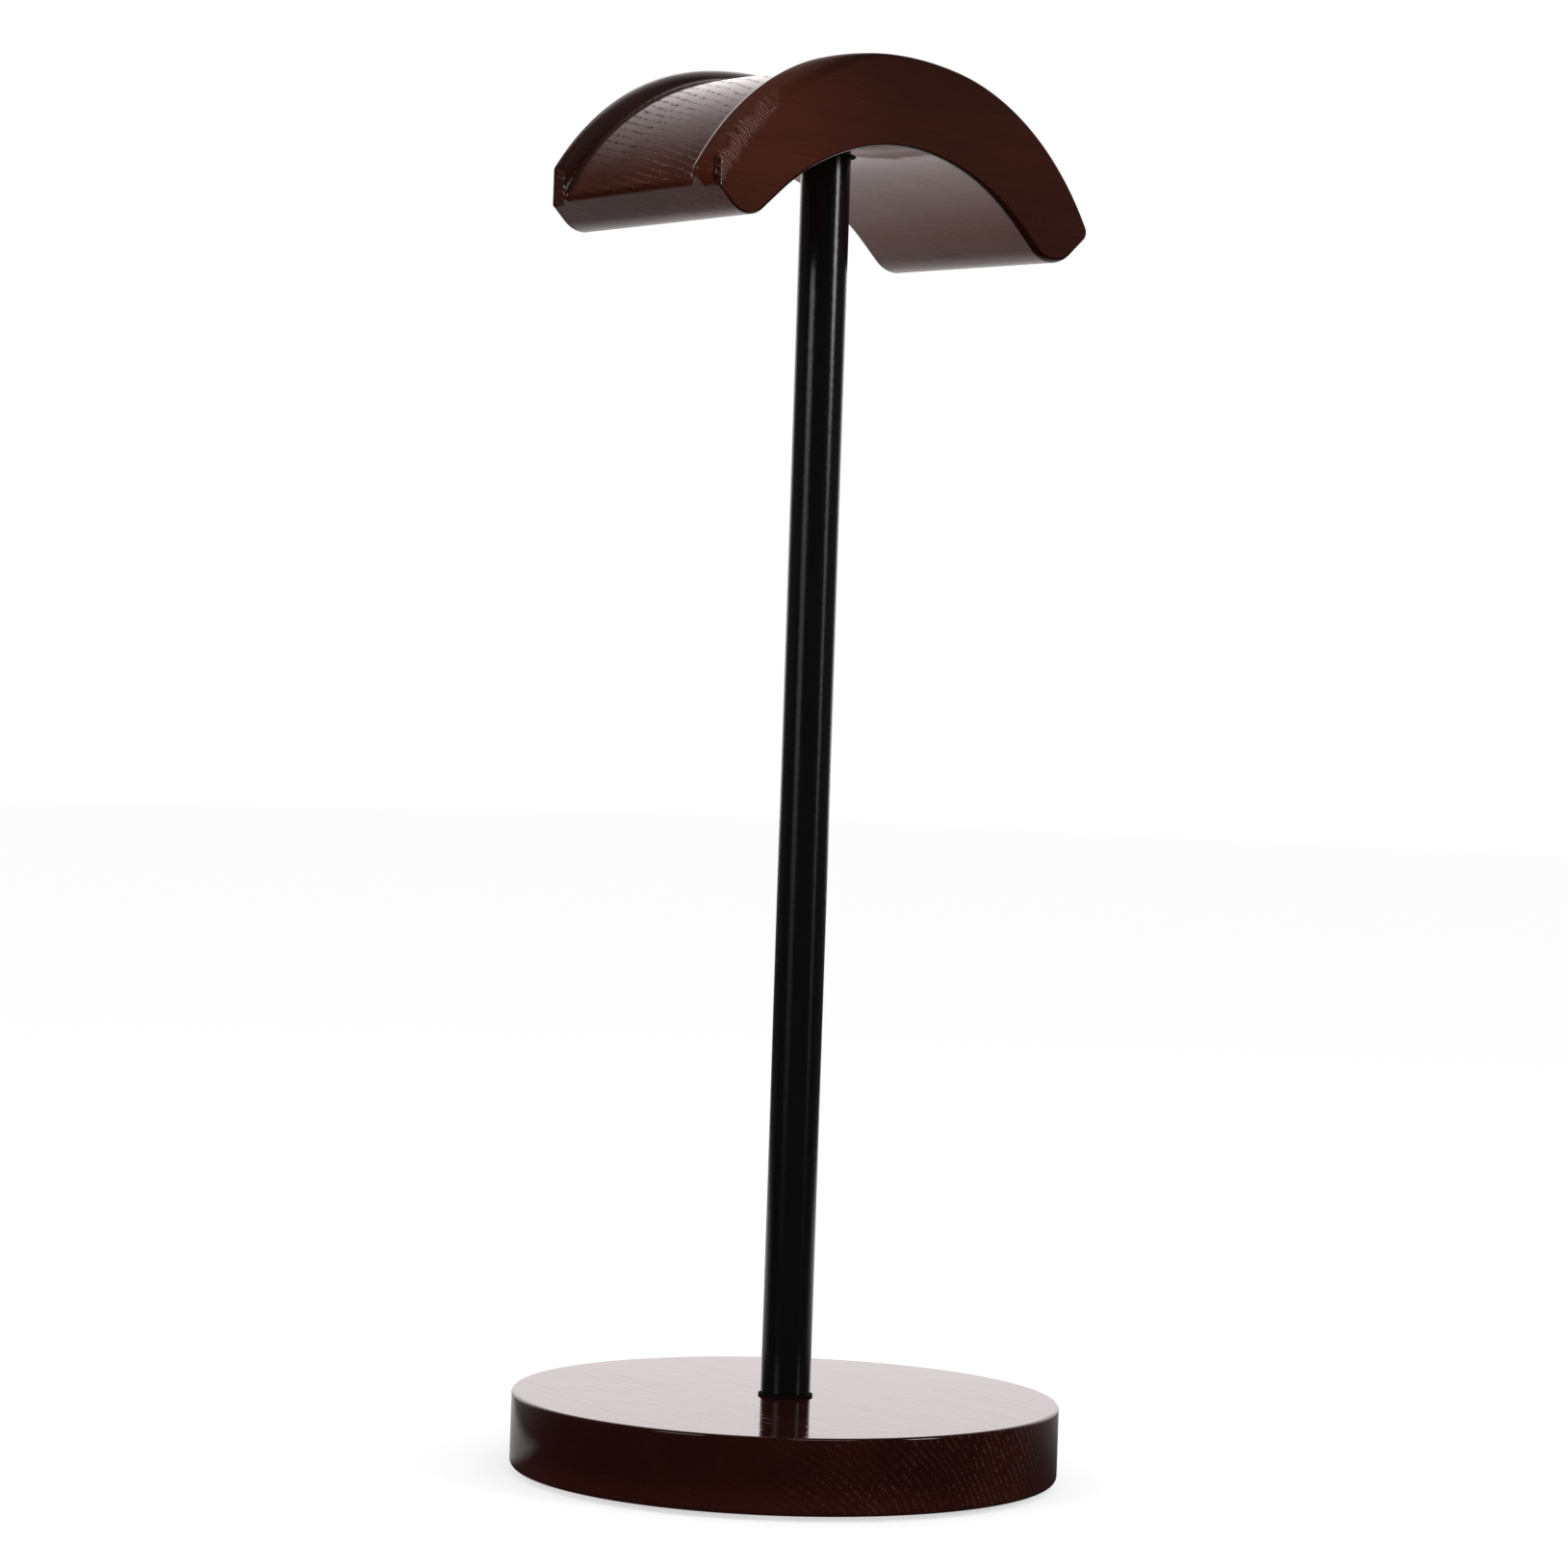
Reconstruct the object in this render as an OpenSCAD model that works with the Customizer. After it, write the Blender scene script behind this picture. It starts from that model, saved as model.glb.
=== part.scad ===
// Headphone stand: a wooden saddle on a round steel pole, standing on a wooden disc.
// Millimetres. +Z is up and X is the saddle's width. The origin is on the floor, under the pole's axis.

/* [Base] */
// Diameter of the wooden disc
base_d = 110; // [90:1:150]
// Thickness of the wooden disc
base_t = 15; // [12:0.5:25]
// Radius that eases the disc's top edge
base_top_ease = 0.8; // [0.3:0.1:2]
// Radius that eases the disc's bottom edge
base_bottom_ease = 1.2; // [0.3:0.1:2]

/* [Foot pads] */
// Thickness of the stick-on pads under the disc
pad_t = 1; // [0.5:0.1:2]
// Diameter of one pad
pad_d = 12; // [8:1:14]
// Number of pads
pad_count = 4; // [3:1:6]
// Distance from the disc's edge in to the pads
pad_inset = 9; // [6:0.5:12]

/* [Pole] */
// Outer diameter of the pole
pole_d = 10; // [10:0.5:14]
// Length of the pole
pole_len = 248.5; // [180:0.5:320]
// Wall thickness of the pole's tube
pole_wall = 1; // [0.8:0.1:1.2]
// Chamfer at both ends of the pole
pole_chamfer = 0.4; // [0.2:0.1:0.5]
// Length of the threaded plug in each end of the pole
plug_len = 12; // [10:0.5:20]

/* [Gaskets] */
// Thickness of the gaskets at both ends of the pole
gasket_t = 0.5; // [0.3:0.1:1]
// How far a gasket stands proud of the pole all round
gasket_proud = 0.5; // [0.2:0.1:1]

/* [Saddle] */
// Length of the saddle, along Y
saddle_len = 44.5; // [36:0.5:60]
// Thickness of the arch at its crown
crown_t = 18; // [17:0.5:22]
// Outer radius of the arch over its crown
crown_r = 95; // [85:1:110]
// Angle from vertical at which the outside passes from the crown to the shoulder
crown_angle = 9; // [6:0.1:14]
// Outer radius of the arch over its shoulders
shoulder_r = 60.5; // [58:0.5:66]
// Angle from vertical at which the outside ends
end_angle = 58.2; // [54:0.1:62]
// Inner radius of the arch
under_r = 56.5; // [52:0.5:60]
// Angle from vertical at which the underside runs out straight
under_angle = 38.6; // [34:0.1:40]
// Slope of the flat end faces
end_face_slope = 39; // [34:1:43]
// Rounding between the outside and the end face
outer_corner_r = 2; // [1:0.1:3]
// Rounding between the end face and the underside
inner_corner_r = 8.8; // [4:0.1:9]

/* [Headband channel] */
// Depth of the channel below the rims
channel_depth = 2.3; // [1:0.1:2.8]
// Width of the rim at each end of the saddle
rim_w = 4.8; // [3:0.1:8]

/* [Fasteners] */
// Thread diameter of the screw and the stud
thread_d = 5; // [4:0.5:5]
// Length of the screw under its head
screw_len = 20; // [18:0.5:22]
// Diameter of the screw's head
screw_head_d = 9.5; // [8:0.5:10]
// Height of the screw's head
screw_head_h = 2.8; // [2:0.1:3]
// Outer diameter of the washer under the screw's head
washer_d = 12; // [11:0.5:14]
// Thickness of that washer
washer_t = 1; // [0.8:0.1:1.5]
// Length of the stud
stud_len = 20; // [16:0.5:20]
// Outer diameter of the threaded insert in the saddle
insert_d = 8; // [7.5:0.1:9]
// Length of that insert
insert_len = 11; // [9:0.5:11]

/* [Hidden] */
$fn = 96;

// Radial gap between a thread or a pressed piece and its hole
fit_gap = 0.03;
// Radial clearance of the holes that the screw and the stud pass through
pass_gap = 0.25;
// Overlap of the cutting tools, so that no cut ends on a face
cut = 1;
// Depth of the flat seat milled into the arch for the upper gasket
seat_depth = 0.3;
// Clearance around the gasket in that seat
seat_gap = 0.5;
// Depth of the recess that hides the washer and the screw's head
recess_depth = 5;
// Clearance around the washer in that recess
recess_gap = 0.5;
// How far the insert sits below the seat
insert_sunk = 1;
// Share of the stud that is screwed into the pole
stud_in_pole = 0.475;
// Hexagon key sizes of the screw and the stud, across flats, and their depths
screw_key = 3;
screw_key_depth = 1.8;
stud_key = 2.5;
stud_key_depth = 2.5;
// Small chamfer on the turned metal pieces
turned_chamfer = 0.4;
// Steps of the arcs in the saddle's outline
long_steps = 24;
short_steps = 8;

base_r = base_d / 2;
pole_r = pole_d / 2;
bore_r = pole_r - pole_wall;
thread_r = thread_d / 2;
gasket_r = pole_r + gasket_proud;
pad_ring_r = base_r - pad_inset - pad_d / 2;

base_top_z = pad_t + base_t;
pole_z = base_top_z + gasket_t;
pole_top_z = pole_z + pole_len;
seat_z = pole_top_z + gasket_t;
under_z = seat_z - seat_depth;
crown_z = under_z + crown_t;
washer_z = pad_t + recess_depth - washer_t;
insert_z = seat_z + insert_sunk;
stud_z = pole_top_z - stud_len * stud_in_pole;

// Outline of the arch, as [x, z]: centres of its arcs and the lines of its end face.
crown_c = [0, crown_z - crown_r];
shoulder_c = at(crown_c, crown_r - shoulder_r, crown_angle);
under_c = [0, under_z - under_r];
end_corner = at(shoulder_c, shoulder_r, end_angle);
end_dir = [-cos(end_face_slope), -sin(end_face_slope)];
end_in = [-sin(end_face_slope), cos(end_face_slope)];
straight_start = at(under_c, under_r, under_angle);
straight_dir = [cos(under_angle), -sin(under_angle)];
straight_in = [sin(under_angle), cos(under_angle)];
// Angles from vertical at which the end face and the straight part of the underside look outwards
end_face_angle = 180 - end_face_slope;
straight_angle = 180 + under_angle;

// The outer rounding touches the end face and the shoulder from inside.
round_line = end_corner + outer_corner_r * end_in;
round_way = (round_line - shoulder_c) * end_dir;
round_reach = (round_line - shoulder_c) * (round_line - shoulder_c) - pow(shoulder_r - outer_corner_r, 2);
outer_round_c = round_line - (round_way + sqrt(round_way * round_way - round_reach)) * end_dir;
outer_round_angle = atan2(outer_round_c[0] - shoulder_c[0], outer_round_c[1] - shoulder_c[1]);

// The inner rounding touches the end face and the straight part of the underside.
tip_way = cross(straight_start - end_corner, straight_dir) / cross(end_dir, straight_dir);
tip = end_corner + tip_way * end_dir;
inner_round_c = tip + inner_corner_r * (end_in + straight_in) / (1 + end_in * straight_in);

// Point at radius r from centre c, at angle a from vertical towards +X.
function at(c, r, a) = [c[0] + r * sin(a), c[1] + r * cos(a)];

// Points of an arc, with both ends.
function arc(c, r, a0, a1, steps) = [for (i = [0:steps]) at(c, r, a0 + (a1 - a0) * i / steps)];

// The same points in the other order.
function reversed(points) = [for (i = [len(points) - 1:-1:0]) points[i]];

// The same points on the other side of the middle, in the other order.
function mirrored(points) = [for (p = reversed(points)) [-p[0], p[1]]];

// Right half of the arch's outline, from the top of the crown round to the middle of the underside.
function half_outline() = concat(
    arc(crown_c, crown_r, 0, crown_angle, short_steps),
    arc(shoulder_c, shoulder_r, crown_angle, outer_round_angle, long_steps),
    arc(outer_round_c, outer_corner_r, outer_round_angle, end_face_angle, short_steps),
    arc(inner_round_c, inner_corner_r, end_face_angle, straight_angle, short_steps),
    arc(under_c, under_r, under_angle, 0, long_steps)
);

// Right half of a line that keeps a distance d inside the arch's outside and runs out past its end.
function half_outside(d) = concat(
    arc(crown_c, crown_r - d, 0, crown_angle, short_steps),
    arc(shoulder_c, shoulder_r - d, crown_angle, end_angle + 10, long_steps)
);

module arch_outline() {
    polygon(concat(half_outline(), mirrored(half_outline())));
}

// Space above the channel's floor, from one end face of the arch to the other.
module channel_outline() {
    floor_half = half_outside(channel_depth);
    above_half = half_outside(-2 * cut);
    polygon(concat(mirrored(floor_half), floor_half, reversed(above_half), reversed(mirrored(above_half))));
}

// An [x, z] outline made solid along Y, centred on the pole's axis.
module along_y(length) {
    translate([0, length / 2, 0])
        rotate([90, 0, 0])
            linear_extrude(height = length)
                children();
}

// A turned pin with chamfered ends, standing on z = 0.
module turned(r, h, chamfer) {
    rotate_extrude()
        polygon([[0, 0], [r - chamfer, 0], [r, chamfer], [r, h - chamfer], [r - chamfer, h], [0, h]]);
}

// A hexagon socket, standing on z = 0.
module key_socket(across_flats, depth) {
    cylinder(d = across_flats / cos(30), h = depth, $fn = 6);
}

// A flat ring, standing on z = 0.
module ring(outer_r, inner_r, h) {
    difference() {
        cylinder(r = outer_r, h = h);
        translate([0, 0, -cut])
            cylinder(r = inner_r, h = h + 2 * cut);
    }
}

// What an easing of radius r takes off a corner at [x, y]; up is 1 for a top corner and -1 for a bottom one.
module edge_cut(x, y, r, up) {
    difference() {
        translate([x - r, up > 0 ? y - r : y - cut])
            square([r + cut, r + cut]);
        translate([x - r, y - up * r])
            circle(r = r);
    }
}

module base() {
    color("#2b0f0a")
    difference() {
        translate([0, 0, pad_t])
            rotate_extrude()
                difference() {
                    square([base_r, base_t]);
                    edge_cut(base_r, base_t, base_top_ease, 1);
                    edge_cut(base_r, 0, base_bottom_ease, -1);
                }
        translate([0, 0, pad_t - cut])
            cylinder(r = washer_d / 2 + recess_gap, h = recess_depth + cut);
        cylinder(r = thread_r + pass_gap, h = base_top_z + cut);
    }
}

module foot_pads() {
    color("#1a1a1a")
    for (i = [0:pad_count - 1])
        rotate([0, 0, (i + 0.5) * 360 / pad_count])
            translate([pad_ring_r, 0, 0])
                cylinder(d = pad_d, h = pad_t);
}

module base_screw() {
    color("#8d8f92")
    difference() {
        union() {
            translate([0, 0, washer_z - screw_head_h])
                turned(screw_head_d / 2, screw_head_h, turned_chamfer);
            translate([0, 0, washer_z - turned_chamfer])
                turned(thread_r, screw_len + turned_chamfer, turned_chamfer);
        }
        translate([0, 0, washer_z - screw_head_h - cut])
            key_socket(screw_key, screw_key_depth + cut);
    }
}

module base_screw_washer() {
    color("#9a9c9f")
    translate([0, 0, washer_z])
        ring(washer_d / 2, thread_r + pass_gap, washer_t);
}

module lower_gasket() {
    color("#111111")
    translate([0, 0, base_top_z])
        ring(gasket_r, thread_r + pass_gap, gasket_t);
}

module upper_gasket() {
    color("#111111")
    translate([0, 0, pole_top_z])
        ring(gasket_r, thread_r + pass_gap, gasket_t);
}

module pole_tube() {
    color("#0b0b0c")
    translate([0, 0, pole_z])
        difference() {
            turned(pole_r, pole_len, pole_chamfer);
            translate([0, 0, -cut])
                cylinder(r = bore_r, h = pole_len + 2 * cut);
        }
}

// A plug pressed into the pole, with a threaded hole right through it.
module pole_plug() {
    difference() {
        turned(bore_r - fit_gap, plug_len, turned_chamfer);
        translate([0, 0, -cut])
            cylinder(r = thread_r + fit_gap, h = plug_len + 2 * cut);
    }
}

module lower_pole_plug() {
    color("#8d8f92")
    translate([0, 0, pole_z])
        pole_plug();
}

module upper_pole_plug() {
    color("#8d8f92")
    translate([0, 0, pole_top_z - plug_len])
        pole_plug();
}

module saddle_stud() {
    color("#8d8f92")
    translate([0, 0, stud_z])
        difference() {
            turned(thread_r, stud_len, turned_chamfer);
            translate([0, 0, -cut])
                key_socket(stud_key, stud_key_depth + cut);
        }
}

module saddle_insert() {
    color("#b08d4a")
    translate([0, 0, insert_z])
        difference() {
            turned(insert_d / 2, insert_len, turned_chamfer);
            translate([0, 0, -cut])
                cylinder(r = thread_r + fit_gap, h = insert_len + 2 * cut);
        }
}

module saddle() {
    color("#2b0f0a")
    difference() {
        along_y(saddle_len)
            arch_outline();
        along_y(saddle_len - 2 * rim_w)
            channel_outline();
        translate([0, 0, under_z - cut])
            cylinder(r = gasket_r + seat_gap, h = seat_depth + cut);
        translate([0, 0, seat_z - cut])
            cylinder(r = insert_d / 2 + fit_gap, h = insert_sunk + insert_len + cut);
    }
}

base();
foot_pads();
base_screw();
base_screw_washer();
lower_gasket();
pole_tube();
lower_pole_plug();
upper_pole_plug();
upper_gasket();
saddle_stud();
saddle_insert();
saddle();
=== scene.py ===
import bpy
import bmesh
import math
from mathutils import Matrix, Vector


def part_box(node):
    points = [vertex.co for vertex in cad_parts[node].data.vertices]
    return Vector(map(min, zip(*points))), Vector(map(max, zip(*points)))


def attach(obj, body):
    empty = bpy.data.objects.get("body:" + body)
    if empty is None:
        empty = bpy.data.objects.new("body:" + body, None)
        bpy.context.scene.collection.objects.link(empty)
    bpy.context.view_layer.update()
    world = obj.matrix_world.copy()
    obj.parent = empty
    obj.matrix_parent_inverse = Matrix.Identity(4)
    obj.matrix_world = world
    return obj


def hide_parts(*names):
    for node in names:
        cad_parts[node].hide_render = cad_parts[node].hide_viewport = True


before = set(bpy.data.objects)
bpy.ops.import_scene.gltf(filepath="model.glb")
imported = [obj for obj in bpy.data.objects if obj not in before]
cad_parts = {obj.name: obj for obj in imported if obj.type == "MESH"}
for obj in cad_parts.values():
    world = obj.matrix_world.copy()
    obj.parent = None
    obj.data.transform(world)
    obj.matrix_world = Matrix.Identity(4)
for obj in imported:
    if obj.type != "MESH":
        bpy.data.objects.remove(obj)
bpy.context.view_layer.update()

MM = 0.001
BODY = "root"

saddle_low, saddle_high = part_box("saddle")
SADDLE_TOP = saddle_high[2] / MM
SADDLE_LOW = saddle_low[2] / MM
SADDLE_LEN = (saddle_high[1] - saddle_low[1]) / MM

# Driving dimensions of the saddle, the same as the frame's, in millimetres and degrees.
CROWN_R = 95.0
CROWN_ANGLE = 9.0
SHOULDER_R = 60.5
END_ANGLE = 58.2
CROWN_T = 18.0
UNDER_R = 56.5
UNDER_ANGLE = 38.6
END_FACE_SLOPE = 39.0
OUTER_CORNER_R = 2.0
INNER_CORNER_R = 8.8

# The headband channel, and each rim's flat top, rounded edge, wall and cove.
CHANNEL_DEPTH = 2.3
FLOOR_CORNER_R = 1.6
NEAR_RIM = {"flat": 3.8, "edge_r": 1.7, "cove_r": 1.6, "steepness": 60.0}
FAR_RIM = {"flat": 1.2, "edge_r": 4.8, "cove_r": 1.4, "steepness": 50.0}
LEAST_WALL = 0.02

# Eased edges. The underside's grows down the legs, between two distances from the pole.
CRISP_EASE = 0.7
UNDER_EASE = 0.6
UNDER_LEG_EASE = 1.3
LEG_X = (15, 38)
FAR_TIP_EASE = 0.9
# The near left edge is sanded soft: its depth from the face, its reach over it, its lean in degrees, where
# it starts and is full left of the pole, and where it narrows to a share of that before the end.
SOFT_DEPTH = 3.7
SOFT_REACH = 4.8
SOFT_LEAN = 66.0
SOFT_START = 6.0
SOFT_FULL = 30.0
SOFT_END_X = (40, 53)
SOFT_END_SHARE = 0.4
SOFT_END_EASE = 0.4
SOFT_TIP_EASE = 0.6

# The left end was finished by hand. Its end face is cut a little askew, as degrees added to END_ANGLE at the
# near and at the far face. Its corners there are trimmed off upright, keep millimetres from the pole's axis.
# Each trim is straight for a while and then runs out towards the channel, where the end is left whole.
LEFT_NEAR_CUT = -0.4
LEFT_FAR_CUT = 1.5
LEFT_TIP_R = 7.6
TRIM_EASE = 0.2
NEAR_TRIM = {"keep": 53.6, "corner_r": 1.0, "straight": 1.0, "runs_out": 1.0}
FAR_TRIM = {"keep": 54.4, "corner_r": 0.6, "straight": 3.4, "runs_out": 1.2}

# Seat and hole for the upper gasket and the insert, under the arch, and how far below it their cut starts.
SEAT_R = 6.0
SEAT_DEPTH = 0.3
INSERT_HOLE_R = 4.03
INSERT_HOLE_DEPTH = 12.0
CUT_BELOW = 2.0

# Rows of points across the saddle: over each face's eased edge, down each rim's edge, round its cove and
# across the channel's floor.
EASE_ROWS = 9
RIM_EDGE_ROWS = 8
COVE_ROWS = 10
FLOOR_ROWS = 12
# The arch's points lie closer together over these degrees before the outer corner, where the trims cut.
FINE_STRETCH = 10

# Steps of the turned pieces, and rows of points along the pole.
BASE_STEPS = 256
POLE_STEPS = 128
GASKET_STEPS = 128
PAD_STEPS = 64
SEAT_STEPS = 64
POLE_ROWS = 12
# An edge sharper than this many degrees is kept crisp in the shading.
SHARP_ANGLE = 40.0

# Edges and holes of the turned pieces.
BASE_TOP_EASE = 0.6
BASE_BOTTOM_EASE = 1.2
RECESS_R = 6.5
RECESS_DEPTH = 5.0
RECESS_BEVEL = 0.3
PASS_R = 2.75
POLE_WALL = 1.0
POLE_EASE = 0.4
PAD_R = 6.0
PAD_EASE = 0.3
PAD_COUNT = 4

# Where the photograph was taken from: distance and height in millimetres, angles in radians.
CAMERA_DISTANCE = 879.9
CAMERA_HEIGHT = 145.9
CAMERA_TURN = 0.8236
CAMERA_PITCH = -0.0080
CAMERA_YAW = 0.0049
CAMERA_ROLL = -0.0331
CAMERA_FOCAL_PX = 4547.9
IMAGE_PX = 1629
SENSOR = 36.0

# Colour of the wood where the stain is sanded through, and of the dust that fills the pores. The sanded
# colour also paints the sheen and glints of the rough sanded band.
BARE_WOOD_AND_SHEEN = (0.260, 0.120, 0.098)
PORE_DUST = (0.070, 0.036, 0.029)

# The wood's textures, as features in a millimetre along the fibres and across them.
RING_WANDER = (0.010, 0.045)
PORE_WAVER = (0.05, 0.12)
SMALL_PORES = (0.10, 1.7)
FIBRES = (0.05, 2.4)
BLOTCHES = (0.022, 0.07)
FILM_WAVES = 0.10
# How far the rings and the pores wander, in millimetres.
RING_WANDER_MM = 4.0
PORE_WAVER_MM = 0.7
# Shares with a random part, as (least, random part): where the row of pores lies in its ring, where a pore
# lies in its own stretch of the row, and how wide it is. Each ring's row is shifted by up to some pores.
ROW_PLACE = (0.24, 0.12)
PORE_PLACE = (0.35, 0.30)
PORE_WIDTH = (0.5, 0.7)
ROW_SHIFT = 9.0
# A pore's soft edge as a share of its radius, and a small pore's as a share of its cell.
PORE_EDGE = (1.15, 0.75)
SMALL_PORE_EDGE = (0.16, 0.08)
SMALL_PORES_MISSING = 0.6
SMALL_PORE_DEPTH = 0.15
# The late wood's share of a ring, and how much fibres, late wood and blotches add to the tone.
LATE_WOOD = (0.35, 0.95)
TONE = {"fibres": 0.12, "late": -0.06, "blotches": 0.5, "level": 0.17}
WOOD_ROUGH = (0.40, 0.50)
PORE_COAT_LOSS = 0.9
WORN_ROUGH = 0.25

# The range that most values of a noise lie in, and nearly all of them.
NOISE_MOST = (0.3, 0.7)
NOISE_ALL = (0.2, 0.8)

# How the saddle's colour varies, partly by stain and partly as painted light and shade. A place is (where a
# change starts, where it is full) in millimetres: x and y from the pole's axis, "beside" the middle plane,
# "pole" to either side of the pole, "in" from the faces, "up" from the foot and "down" from the top. A gain
# is how much paler the colour is, or darker if negative. The underside's gain is painted light, bounced up
# from the floor;
# the far rim's and the crisp edges' are painted shade.
SADDLE_STAIN_AND_LIGHT = {
    "near left": {"x": (0.0, -43.0), "y": (0.0, -20.0), "up": (2.0, 13.0), "at foot": 0.5, "gain": 0.9},
    "far rim": {"y": (15.0, 17.0), "gain": -0.42},
    "channel": {"beside": (16.5, 15.0), "y": (-14.0, -2.0), "gain": 0.7},
    "crown": {"down": (16.0, 2.0), "y": (-20.0, -21.5), "gain": -0.25},
    "underside": {"pole": (45.0, 33.0), "in": (0.5, 1.6), "gain": 2.2},
    "crisp edges": {"in": (1.5, 1.0), "gain": -0.65},
}
# Share of the pores that the lacquer leaves open: under the arch, on the rims, and right of the left end.
SADDLE_PORES = {"underneath": 0.2, "rims": (16.6, 17.2), "rims lose": 0.9, "x": (-36.0, -14.0), "right": 0.5}
# Facing, as a part of the surface's normal: (where it starts to count, where it counts in full).
FACES_UP = (0.1, 0.3)
FACES_DOWN = (-0.3, -0.6)
NOT_DOWN = (-0.3, 0.0)
EDGE_PAST_OUTSIDE = (0.12, 0.30)
EDGE_BEFORE_FACE = (0.99, 0.93)

# How the base's colour and pores vary: patches in a millimetre, the foot's height, and gains or shares. The
# foot's gain is painted light, bounced up from the floor.
BASE_TOP_FACING = (0.5, 0.9)
BASE_STAIN_AND_LIGHT = {"patches": 0.03, "patch gain": (0.8, 1.2), "top gain": 1.5,
              "foot": (8.0, 2.0), "foot gain": 1.5}
BASE_PORES = {"patches": 0.06, "range": (0.35, 0.60), "least": 0.3, "on top": 3.5}

# The sanded near left edge, in millimetres, whose paler colour is partly painted sheen: where the sanding
# sets in along x and stops before the trimmed corner, how deep it reaches from the face as shares of
# SOFT_DEPTH, and the band of the marks inside the arch's outline. The marks have a spacing, drift along the
# edge by up to some marks, and start up to some millimetres late. How strong they are is (least, random
# part).
SANDED_X = (-35.0, -49.0)
SANDED_STOP_X = (-53.4, -52.4)
SANDED_DEPTH = (0.6, 0.2)
MARKS_OUTER = (1.6, 2.8)
MARKS_INNER = (5.9, 4.0)
MARK_SPACING = 0.72
MARK_DRIFT = 1.8
MARK_DRIFT_SCALE = (0.5, 0.6)
MARK_EDGE = (0.30, 0.08)
MARK_START = 1.4
MARK_STRENGTH = (0.4, 0.6)
SANDED_STRENGTH = (0.07, 0.93)
MARK_RELIEF = 0.30

# Powder coat: its peel and its grain, in features per millimetre, and the depth of the peel in metres.
COAT_DARK = (0.0032, 0.0032, 0.0034)
COAT_PALE = (0.0052, 0.0052, 0.0056)
COAT = {"peel": 0.9, "grain": 6.0, "grain share": 0.15, "depth": 0.00002, "rough": (0.16, 0.20)}
# Rubber and turned metal: how much their roughness varies, and the metal's turning rings and tarnish.
RUBBER_ROUGH_SPAN = 0.06
TURNING_RINGS = 9.0
RING_DEPTH = 0.00001
TARNISH = {"scale": 0.5, "range": (0.35, 0.7), "rough range": (0.7, 1.3), "smoother": 0.06, "rougher": 0.08}

# The lamps: turn is in degrees about the object from the camera's side, to the right where it is positive,
# and lengths are in metres. A lamp faces the pole's axis at aim_height, or level where that isn't given.
LAMP_DISTANCE = 0.95
SOFTBOXES = {
    "right softbox": {"turn": 61, "height": 0.475, "width": 0.22, "tall": 0.31, "radiance": 8.5},
    "key": {"turn": 20, "height": 1.30, "width": 0.70, "tall": 0.70, "radiance": 1.6,
            "distance": 1.30, "aim_height": 0.15},
    "right fill": {"turn": 60, "height": 0.22, "width": 0.16, "tall": 0.20, "radiance": 1.3},
    "right low fill": {"turn": 60, "height": 0.03, "width": 0.16, "tall": 0.18, "radiance": 0.4},
    "left softbox": {"turn": -44, "height": 0.46, "width": 0.34, "tall": 0.32, "radiance": 2.6},
    "left fill": {"turn": -44, "height": 0.22, "width": 0.34, "tall": 0.20, "radiance": 0.8},
    "left low fill": {"turn": -44, "height": 0.03, "width": 0.34, "tall": 0.18, "radiance": 0.25},
}

# The backdrop, as gloss sees it, is faintly warm.
BACKDROP_TINT = (1.0, 0.93, 0.935, 1.0)

# The floor, in metres from the pole's axis: its half width, its two greys, the white that it adds for the
# camera, and how bright gloss sees it, as (from, to, level before, level after).
FLOOR_HALF = 6.0
FLOOR_GREYS = (0.74, 0.78)
FLOOR_SPECKS = 900.0
FLOOR_WHITE = 0.62
FLOOR_BEHIND = (-0.02, 0.31, 0.02, 0.90)
FLOOR_FAR = (0.8, 1.8, 1.0, 0.5)
FLOOR_ASIDE = (0.31, 0.52, 1.0, 0.04)
# Two glowing places on the left that only gloss sees, painted to brighten reflections: one beside the base,
# which its left edge reflects, and one that the saddle's left end face sees. Each is bounded by where it
# rises and falls (from, to) to the right and to the back.
REFLECTION_GLOW_PLACES = (
    {"right": (-0.048, -0.056), "right end": (-0.100, -0.080),
     "back": (-0.005, 0.012), "back end": (0.16, 0.12), "level": 0.34},
    {"right": (-0.120, -0.150), "right end": (-0.300, -0.240),
     "back": (0.060, 0.080), "back end": (0.15, 0.12), "level": 0.17},
)

# The world, by a direction's part towards the back or upwards: (from, to, level before, level after). Gloss
# sees dim sides, a bright backdrop that is brightest a little above the horizon, and a faint ceiling. All
# other light is soft, where 1 is white.
SIDES_LEVEL = (-0.6, 0.1, 0.01, 0.07)
BACKDROP_LEVEL = (0.80, 0.35, 0.65, 1.80)
HORIZON_DIP = (0.15, 0.35, 0.82, 1.0)
CEILING_LEVEL = (0.82, 0.96, 0.0, 0.08)
SOFT_LEVEL = (0.1, 0.9, 0.713, 0.372)
# The backdrop's edge, and how much wider it gets higher up.
BACKDROP_EDGE = (0.55, 0.98)
BACKDROP_WIDENS = 0.35


# ---------------------------------------------------------------- mesh helpers

def add_object(name, mesh, material):
    obj = bpy.data.objects.new(name, mesh)
    bpy.context.scene.collection.objects.link(obj)
    mesh.materials.append(material)
    return obj


def finish_mesh(obj):
    """Smooth shading, with sharp edges kept crisp and flat faces kept flat."""
    mesh = obj.data
    mesh.polygons.foreach_set("use_smooth", [True] * len(mesh.polygons))
    mesh.set_sharp_from_angle(angle=math.radians(SHARP_ANGLE))
    weighted = obj.modifiers.new("flat faces stay flat", "WEIGHTED_NORMAL")
    weighted.keep_sharp = True
    weighted.weight = 90


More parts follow.
